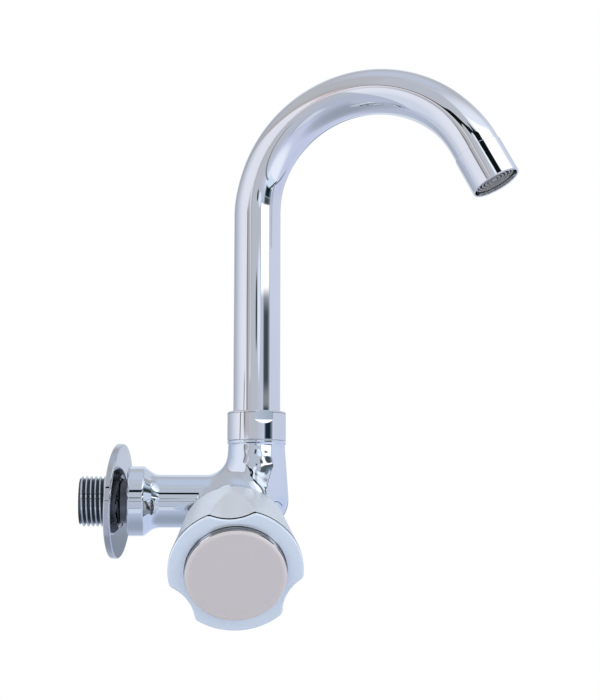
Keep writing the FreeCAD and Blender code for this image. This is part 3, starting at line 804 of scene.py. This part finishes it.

# Knob: a skirt with three round grooves, a seam painted dark as shade, and a ring plate with the cap's seat
KNOB_TURNS = 480
KNOB_REAR = 27.25
REAR_R = 20.4
RIM_R = 25.4
SKIRT_STEPS = 30
GROOVES = 3
GROOVE_R = 17.2
GROOVE_BOTTOM = 21.75
GROOVE_TURN = math.radians(94.2)
HUB_BORE = 5.6
HUB_R = 7.6
HUB_REAR = 41.0
WEB_REAR = 50.6
HOLLOW_R = 18.8
SEAM_BOTTOM = 55.95
SEAM_TOP = 56.8
SEAM_R = 24.6
PLATE_R = 25.3
PLATE_ROUND = 0.6
PLATE_STEPS = 8
PLATE_INNER_R = 20.9
SEAT_R = 19.25
SEAT_DEPTH = 1.5
PLATE_LIFT = 0.02
SKIRT_SOFT = 0.5
SEAM_SOFT = 1.2
PLATE_SOFT = 1.8


def smooth_least(a, b, soft):
    """The smaller of two radii, rounded where they are nearly equal."""
    share = max(soft - abs(a - b), 0.0) / soft
    return min(a, b) - share * share * soft / 4


def lobed(theta, radius, inset, soft):
    """The knob's outer radius at an angle, for a cone of the given radius and its round grooves."""
    middle = GROOVE_BOTTOM + GROOVE_R
    size = GROOVE_R + inset
    reach = radius
    for i in range(GROOVES):
        off = theta - GROOVE_TURN - 2 * math.pi * i / GROOVES
        off = (off + math.pi) % (2 * math.pi) - math.pi
        if abs(math.sin(off)) * middle < size and math.cos(off) > 0:
            bottom = middle * math.cos(off) - math.sqrt(size ** 2 - (middle * math.sin(off)) ** 2)
            reach = smooth_least(reach, bottom, soft)
    return reach


def knob_rings():
    """Rings of the knob from its hub, over the skirt and the dark seam, to the ring plate on its front."""
    angles = full_turn(KNOB_TURNS)

    def lobes(radius, z, inset, soft):
        reach = [lobed(t, radius, inset, soft) for t in angles]
        return uneven_circle(reach, [z] * KNOB_TURNS, angles)

    rear = (
        (HUB_BORE, HUB_REAR), (HUB_R, HUB_REAR), (HUB_R, WEB_REAR), (HOLLOW_R, WEB_REAR),
        (HOLLOW_R, KNOB_REAR + 0.25), (HOLLOW_R + 0.2, KNOB_REAR), (REAR_R - 0.3, KNOB_REAR),
        (REAR_R - 0.08, KNOB_REAR + 0.08),
    )
    rings = [circle(r, z, angles) for r, z in rear]
    slope = (RIM_R - REAR_R) / (SEAM_TOP - KNOB_REAR)
    skirt_start = KNOB_REAR + 0.3
    for i in range(SKIRT_STEPS + 1):
        z = skirt_start + (SEAM_BOTTOM - skirt_start) * i / SKIRT_STEPS
        rings.append(lobes(REAR_R + slope * (z - KNOB_REAR), z, 0.0, SKIRT_SOFT))
    rings.append(lobes(SEAM_R, SEAM_BOTTOM + 0.05, RIM_R - SEAM_R, SEAM_SOFT))
    rings.append(lobes(SEAM_R, SEAM_TOP, RIM_R - SEAM_R, SEAM_SOFT))
    for i in range(PLATE_STEPS + 1):
        turn = math.pi / 2 * i / PLATE_STEPS
        back = PLATE_ROUND * (1 - math.cos(turn))
        z = SEAM_TOP + PLATE_LIFT + PLATE_ROUND * math.sin(turn)
        rings.append(lobes(PLATE_R - back, z, RIM_R - PLATE_R + back, SEAM_SOFT))
    top = SEAM_TOP + PLATE_ROUND
    flat = PLATE_ROUND + 0.3
    rings.append(lobes(PLATE_R - flat, top + PLATE_LIFT, RIM_R - PLATE_R + flat, PLATE_SOFT))
    for share in (0.75, 0.5, 0.25, 0.0):
        r = SEAT_R + share * (PLATE_INNER_R - SEAT_R)
        rings.append(circle(r, top + 0.05 + 0.03 * (1 - share), angles))
    for r, drop in ((SEAT_R - 0.06, 0.05), (SEAT_R - 0.06, SEAT_DEPTH), (HUB_BORE, SEAT_DEPTH)):
        rings.append(circle(r, top - drop, angles))
    return rings


def knob_part(face, radius):
    """1 on the ring plate, 2 in the seam, which is painted dark as shade, and 0 on the skirt and the inside.
    """
    if face.center.z > SEAM_TOP:
        return 1
    return 2 if face.center.z > SEAM_BOTTOM and radius > SEAT_R else 0


finish_mesh(rings_mesh("knob_skirt", knob_rings()), (KNOB_SKIRT, KNOB_RING, PAINTED_GROOVE_SHADE), "knob",
            ["knob_shell"], VALVE, knob_part, sharp=35.0)

# Knob cap: a satin face, a bevel, and a polished side with a fine groove
CAP_TOP = 60.7
CAP_R = 19.05
CAP_FACE_R = 17.4
CAP_REAR = 56.0
CAP_REAR_R = 18.6
CAP_GROOVE_R = 18.95
CAP_GROOVE_TOP = 59.3
CAP_GROOVE_BOTTOM = 59.1
CAP_BEVEL_END = 60.4

cap = rounded([
    (0, CAP_TOP, 0), (CAP_FACE_R, CAP_TOP, 0), (17.9, 60.68, 0), (18.5, 60.55, 0), (18.8, CAP_BEVEL_END, 0.1),
    (CAP_R, 60.05, 0.1), (CAP_R, 59.35, 0.05), (CAP_GROOVE_R, CAP_GROOVE_TOP, 0),
    (CAP_GROOVE_R, CAP_GROOVE_BOTTOM, 0), (CAP_R, 59.05, 0.05), (CAP_R, 57.75, 0), (CAP_REAR_R, 57.5, 0.05),
    (CAP_REAR_R, CAP_REAR, 0), (0, CAP_REAR, 0),
])


def cap_part(face, radius):
    """0 on the satin face, 1 on the side, 2 on the bevel, with its painted highlight, and 3 in the groove,
    which is painted dark as shade.
    """
    if face.center.z > CAP_BEVEL_END - 0.05:
        return 2 if radius > CAP_FACE_R + 0.1 else 0
    return 3 if CAP_GROOVE_BOTTOM - 0.1 < face.center.z < CAP_GROOVE_TOP + 0.03 else 1


finish_mesh(lathe("cap_disc", cap, closed=False), (SATIN, RIM, SATIN_EDGE, PAINTED_GROOVE_SHADE), "knob",
            ["knob_cap"], VALVE, cap_part)

# Materials of the CAD nodes that stay
node_materials = {
    "bonnet": PLATED,
    "bonnet_washer": FIBRE,
    "gland_packing": PACKING,
    "gland_nut": PLATED,
    "spindle": BRASS,
    "jumper": BRASS,
    "valve_washer": RUBBER,
    "washer_nut": BRASS,
    "knob_bush": BRASS,
    "knob_screw": STEEL,
    "slip_ring": WHITE_PLASTIC,
    "spout_tail": BRASS,
    "tail_o_rings": RUBBER,
    "aerator_washer": RUBBER,
    "aerator_cage": GREY_PLASTIC,
    "aerator_screens": STEEL,
    "aerator_diffuser": WHITE_PLASTIC,
}
for node_name, material in node_materials.items():
    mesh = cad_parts[node_name].data
    mesh.materials.clear()
    mesh.materials.append(material)

# Studio: places and sizes in metres, and directions in the tent in degrees
TENT_R = 40.0
TENT_CENTRE = (0.06, -0.02, 0.09)
TENT_GAIN = 1.12
FLOOR_R = 3.0
FLOOR_CENTRE = (0.06, 0.0, -0.32)
LAMP_AIM = Vector((0.06, -0.02, 0.05))
LAMP_SIZE = 0.9


def simple_mesh(name, make, **sizes):
    """A mesh from one of bmesh's own forms."""
    mesh = bpy.data.meshes.new(name)
    bm = bmesh.new()
    make(bm, **sizes)
    bm.to_mesh(mesh)
    bm.free()
    return mesh


def tone(r, g, b, gain=1.0):
    """The tent's linear colour for display values of 0 to 255."""
    linear = []
    for value in (r, g, b):
        share = value / 255
        curve = share / 12.92 if share <= 0.04045 else ((share + 0.055) / 1.055) ** 2.4
        linear.append(gain * TENT_GAIN * curve)
    return (*linear, 1)


class Tent:
    """Paints the tent by direction, in degrees: az grows to the right from 0 at the front, and el upwards."""

    def __init__(self, n):
        self.n = n
        unit = n.make("ShaderNodeVectorMath", operation="NORMALIZE")
        n.put(unit.inputs[0], n.place())
        x, y, z = n.split(unit.outputs[0])
        self.az = n.times(n.math("ARCTAN2", x, n.times(y, -1.0)), DEGREE)
        self.el = n.times(n.math("ARCSINE", z), DEGREE)
        self.colour = tone(148, 157, 172)

    def paint(self, area, *shade):
        """Lays a colour, or three display values, over an area."""
        self.colour = self.n.mix(area, self.colour, shade[0] if len(shade) == 1 else tone(*shade))

    def window(self, value, low, high, soft):
        """1 while the value is from low to high, and 0 outside."""
        rise = self.n.ramp(value, low - soft, low + soft)
        return self.n.times(rise, self.n.ramp(value, high - soft, high + soft, 1.0, 0.0))

    def patch(self, az_low, az_high, az_soft, el_low, el_high, el_soft, share=1.0):
        """A rectangle of directions with soft edges."""
        wide = self.window(self.az, az_low, az_high, az_soft)
        return self.n.times(self.n.times(wide, self.window(self.el, el_low, el_high, el_soft)), share)

    def distance(self, centre_az, centre_el, wide, high, power=2.0):
        """0 at the centre of an ellipse, and 1 on its edge."""
        a = self.n.absolute(self.n.math("DIVIDE", self.n.minus(self.az, centre_az), wide))
        b = self.n.absolute(self.n.math("DIVIDE", self.n.minus(self.el, centre_el), high))
        return self.n.plus(self.n.math("POWER", a, power), self.n.math("POWER", b, power))

    def ellipse(self, centre_az, centre_el, wide, high, inner, outer):
        """1 inside an ellipse, fading to 0 from inner to outer, as shares of its distance."""
        return self.n.ramp(self.distance(centre_az, centre_el, wide, high), inner, outer, 1.0, 0.0)

    def streak(self, slope, offset, half, az_low, az_high, az_soft):
        """A thin line whose elevation is offset at azimuth 0 and changes with the slope."""
        line = self.n.plus(self.n.times(self.az, slope), offset)
        away = self.n.absolute(self.n.minus(self.el, line))
        thin = self.n.ramp(away, half * 0.6, half * 1.3, 1.0, 0.0)
        return self.n.times(thin, self.window(self.az, az_low, az_high, az_soft))


def paint_walls(n, t):
    """The tent itself, from the floor upwards, then its bluer right side and its bright back."""
    t.paint(n.ramp(t.el, -80.0, -42.0), 174, 182, 202)
    t.paint(n.ramp(t.el, -35.0, 5.0), 180, 185, 194)
    t.paint(n.ramp(t.el, 20.0, 42.0), 177, 179, 185)
    t.paint(n.ramp(t.el, 58.0, 80.0), 185, 193, 210)
    t.paint(t.patch(8.0, 172.0, 14.0, -52.0, 6.0, 9.0), 193, 200, 226)
    t.paint(t.patch(96.0, 122.0, 16.0, -40.0, 4.0, 10.0, 0.8), 187, 196, 222)
    t.paint(t.ellipse(48.0, -15.0, 34.0, 24.0, 0.2, 1.3), 228, 234, 247)
    t.paint(t.patch(-152.0, -130.0, 7.0, -20.0, 46.0, 10.0, 0.9), 158, 164, 180)
    t.paint(t.patch(60.0, 152.0, 10.0, 4.0, 42.0, 5.0), 197, 204, 222)
    back = n.ramp(n.absolute(t.az), 152.0, 166.0)
    t.paint(n.times(back, t.window(t.el, -26.0, 46.0, 7.0)), 206, 215, 227)
    t.paint(t.patch(152.0, 170.0, 4.0, -12.5, -0.2, 1.6), 139, 148, 163)
    t.paint(t.patch(-24.0, 3.0, 5.0, 26.0, 66.0, 8.0), 188, 191, 200)
    t.paint(t.patch(-82.0, -32.0, 8.0, -68.0, -50.0, 4.0), 176, 184, 204)
    t.paint(t.patch(-14.0, 6.0, 3.0, -42.0, -27.0, 2.5), 200, 208, 222)
    t.paint(n.times(t.streak(0.0, -25.0, 0.9, -14.0, 6.0, 3.0), 0.7), 128, 134, 143)


def paint_soft_box(n, t):
    """The soft box on the left, fading towards the back, with its brownish frame."""
    total = t.distance(-86.0, -4.0, 53.0, 42.0, 2.5)
    above = n.ramp(t.el, 4.0, 16.0)
    t.paint(n.times(n.ramp(total, 1.0, 1.6, 0.6, 0.0), above), 164, 157, 158)
    inside = n.mix(n.ramp(t.az, -138.0, -74.0), tone(168, 178, 194), tone(221, 224, 236))
    shadowed = n.mix(n.ramp(t.az, -138.0, -84.0), tone(162, 172, 188), tone(204, 212, 227))
    inside = n.mix(n.ramp(t.el, -30.0, -8.0), shadowed, inside)
    t.paint(n.ramp(total, 0.96, 1.02, 1.0, 0.0), inside)
    line = n.times(t.window(total, 0.955, 1.03, 0.02), above)
    t.paint(n.times(line, 0.55), 222, 200, 198)
    t.paint(n.times(t.ellipse(-46.0, 9.5, 10.0, 5.0, 0.6, 1.3), 0.8), 158, 158, 163)
    t.paint(t.patch(-50.0, -31.0, 0.8, 3.7, 6.2, 0.3), 176, 178, 188)
    t.paint(t.patch(-50.5, -46.0, 1.2, 3.7, 6.2, 0.3), 156, 158, 162)
    leaning = t.window(n.plus(t.az, n.times(t.el, -1.95)), -78.8, -75.0, 0.7)
    t.paint(n.times(leaning, t.window(t.el, 2.0, 6.3, 0.5)), 88, 93, 98)
    t.paint(t.patch(-53.5, -48.0, 0.8, 4.1, 13.5, 0.4, 0.9), 128, 117, 114)


def paint_bands(n, t):
    """The right front: a white band above, and under it a darker zone with bands across."""
    t.paint(t.ellipse(54.0, 44.0, 74.0, 27.0, 0.1, 1.25), 222, 229, 243)
    t.paint(t.ellipse(54.0, 42.0, 46.0, 8.0, 0.5, 1.4), 255, 255, 255, 1.1)
    t.paint(t.patch(4.0, 122.0, 3.0, 20.5, 37.5, 1.2), 96, 122, 136)
    t.paint(t.patch(8.0, 47.0, 6.0, 26.0, 30.0, 0.8), 196, 198, 212)
    t.paint(t.patch(26.0, 82.0, 5.0, 30.8, 34.0, 0.7), 138, 128, 130)
    t.paint(t.patch(84.0, 124.0, 6.0, 28.0, 38.0, 1.5), 206, 214, 228)
    t.paint(t.patch(66.0, 122.0, 5.0, 19.5, 27.5, 1.5), 52, 54, 56)
    t.paint(t.patch(12.0, 62.0, 2.0, 14.0, 22.0, 0.8), 84, 88, 94)
    t.paint(t.patch(3.0, 24.0, 2.0, 22.0, 28.0, 1.5), 232, 240, 250)


def paint_arc(n, t):
    """The dark arc that rises towards the right front, with a pale zone above it."""
    edge_el = n.ramp(t.az, -43.0, -35.0, 8.4, 16.8)
    for start, end, rise in ((-35.0, -22.0, 7.9), (-22.0, -8.0, 4.9), (-8.0, 17.0, 7.2)):
        edge_el = n.plus(edge_el, n.ramp(t.az, start, end, 0.0, rise))
    away = n.minus(t.el, edge_el)
    t.paint(n.times(n.ramp(away, -0.4, 0.4), t.patch(-36.0, 3.0, 3.0, 10.0, 60.0, 2.0)), 180, 185, 195)
    under = n.ramp(away, -1.2, -0.2, 1.0, 0.0)
    t.paint(n.times(under, t.patch(-13.0, -6.0, 2.0, 14.5, 30.0, 1.0)), 232, 240, 250)
    width = n.plus(n.ramp(t.az, -40.0, -24.0, 0.6, 1.7), n.ramp(t.az, -19.0, -13.0, 0.0, -0.6))
    width = n.plus(width, n.ramp(t.az, -12.0, 4.0, 0.0, 1.1))
    dark_edge = n.math("LESS_THAN", n.absolute(away), width)
    t.paint(n.times(dark_edge, t.window(t.az, -38.5, 17.0, 1.5)), 12, 17, 20)
    t.paint(t.patch(-5.0, 7.0, 1.0, 27.5, 36.0, 0.8), 12, 17, 20)


def paint_strip(n, t):
    """The bright strip at the right front, spots beside it, and the dark block and thin lines under it."""
    t.paint(t.ellipse(7.5, 9.0, 7.0, 3.0, 0.5, 1.2), 214, 228, 248)
    t.paint(t.ellipse(-5.0, 9.0, 4.2, 1.7, 0.6, 1.2), 62, 64, 64)
    t.paint(t.patch(17.0, 58.0, 0.7, 9.8, 13.8, 0.3), 255, 255, 255, 1.2)
    t.paint(t.patch(30.0, 66.0, 2.5, -10.5, -2.0, 0.9), 202, 220, 240)
    shade = n.mix(n.ramp(t.az, 50.0, 62.0), tone(22, 38, 50), tone(128, 140, 152))
    shade = n.mix(n.ramp(t.az, 27.0, 35.0), tone(150, 168, 184), shade)
    hazy = n.times(n.ramp(t.el, 4.9, 5.2), n.ramp(t.el, 5.4, 6.2, 0.62, 0.12))
    shade = n.mix(hazy, shade, tone(160, 165, 168))
    t.paint(t.patch(28.0, 63.0, 1.2, -1.5, 9.6, 0.8), shade)
    t.paint(t.streak(-0.3, 13.6, 1.1, 40.0, 78.0, 2.0), 12, 14, 16)
    t.paint(n.times(t.streak(-0.2, 8.5, 1.5, 60.0, 112.0, 4.0), 0.7), 70, 66, 66)
    t.paint(n.times(t.streak(-0.09, -2.4, 0.9, -24.0, 31.0, 2.0), 0.8), 92, 97, 100)


def tent_material():
    """A grey tent with a large soft box on the left, and bands and a bright strip at the right front."""
    material, n, glow = new_material("tent", "ShaderNodeEmission")
    t = Tent(n)
    for part in (paint_walls, paint_soft_box, paint_bands, paint_arc, paint_strip):
        part(n, t)
    n.put(glow.inputs["Color"], t.colour)
    glow.inputs["Strength"].default_value = 1.0
    return material


def stage_only(thing):
    """Keeps a thing out of the part, and seen in reflections only."""
    thing.visible_camera = False
    thing.visible_diffuse = False
    thing.visible_shadow = False
    thing.visible_volume_scatter = False


tent_mesh = simple_mesh("tent", bmesh.ops.create_uvsphere, u_segments=96, v_segments=48, radius=TENT_R)
tent_mesh.materials.append(tent_material())
tent = in_scene("tent", tent_mesh)
tent.location = TENT_CENTRE
stage_only(tent)


def directly_seen(n):
    """1 for camera, glossy and transmission rays, and 0 for the light that falls on the part."""
    path = n.make("ShaderNodeLightPath")
    sees = n.math("MAXIMUM", path.outputs["Is Camera Ray"], path.outputs["Is Glossy Ray"])
    return n.math("MAXIMUM", sees, path.outputs["Is Transmission Ray"])


def floor_material():
    """A pale floor that looks white where it is seen directly."""
    material, n, blend = new_material("floor", "ShaderNodeMixShader")
    pale = n.make("ShaderNodeBsdfDiffuse")
    pale.inputs["Color"].default_value = (0.93, 0.93, 0.93, 1)
    white = n.make("ShaderNodeEmission")
    white.inputs["Strength"].default_value = 1.0
    away = n.make("ShaderNodeVectorMath", operation="LENGTH")
    n.put(away.inputs[0], n.place())
    whiteness = n.ramp(away.outputs["Value"], 0.15, 0.9, 0.9, 1.0)
    n.put(blend.inputs[0], n.times(directly_seen(n), whiteness))
    n.put(blend.inputs[1], pale.outputs[0])
    n.put(blend.inputs[2], white.outputs[0])
    return material


# The floor, well below the tap
floor_mesh = simple_mesh("floor", bmesh.ops.create_circle, cap_ends=True, segments=96, radius=FLOOR_R)
floor_mesh.materials.append(floor_material())
floor = in_scene("floor", floor_mesh)
floor.location = FLOOR_CENTRE
floor.visible_glossy = False


def background(n, colour, strength):
    """A plain light from all around."""
    node = n.make("ShaderNodeBackground")
    node.inputs["Color"].default_value = colour
    node.inputs["Strength"].default_value = strength
    return node.outputs[0]


# The world: white where it is seen, and a softer, slightly blue light on the part
world = bpy.data.worlds.new("studio")
world.use_nodes = True
wn = Nodes(world.node_tree)
world_mix = wn.make("ShaderNodeMixShader")
wn.put(wn.make("ShaderNodeOutputWorld").inputs[0], world_mix.outputs[0])
wn.put(world_mix.inputs[0], directly_seen(wn))
wn.put(world_mix.inputs[1], background(wn, (0.93, 0.95, 1.0, 1), 0.75))
wn.put(world_mix.inputs[2], background(wn, (1, 1, 1, 1), 1.0))
bpy.context.scene.world = world


def soft_lamp(name, place, power):
    """A square lamp at a place, aimed at the tap and left out of its reflections."""
    data = bpy.data.lights.new(name, "AREA")
    data.shape = "SQUARE"
    data.size = LAMP_SIZE
    data.energy = power
    lamp = in_scene(name, data)
    lamp.location = place
    lamp.rotation_euler = (LAMP_AIM - Vector(place)).to_track_quat("-Z", "Y").to_euler()
    lamp.visible_glossy = False


soft_lamp("key", (-0.7, -0.9, 1.0), 9)
soft_lamp("fill", (1.0, -0.8, 0.3), 4)

view = bpy.context.scene.view_settings
view.view_transform = "Standard"
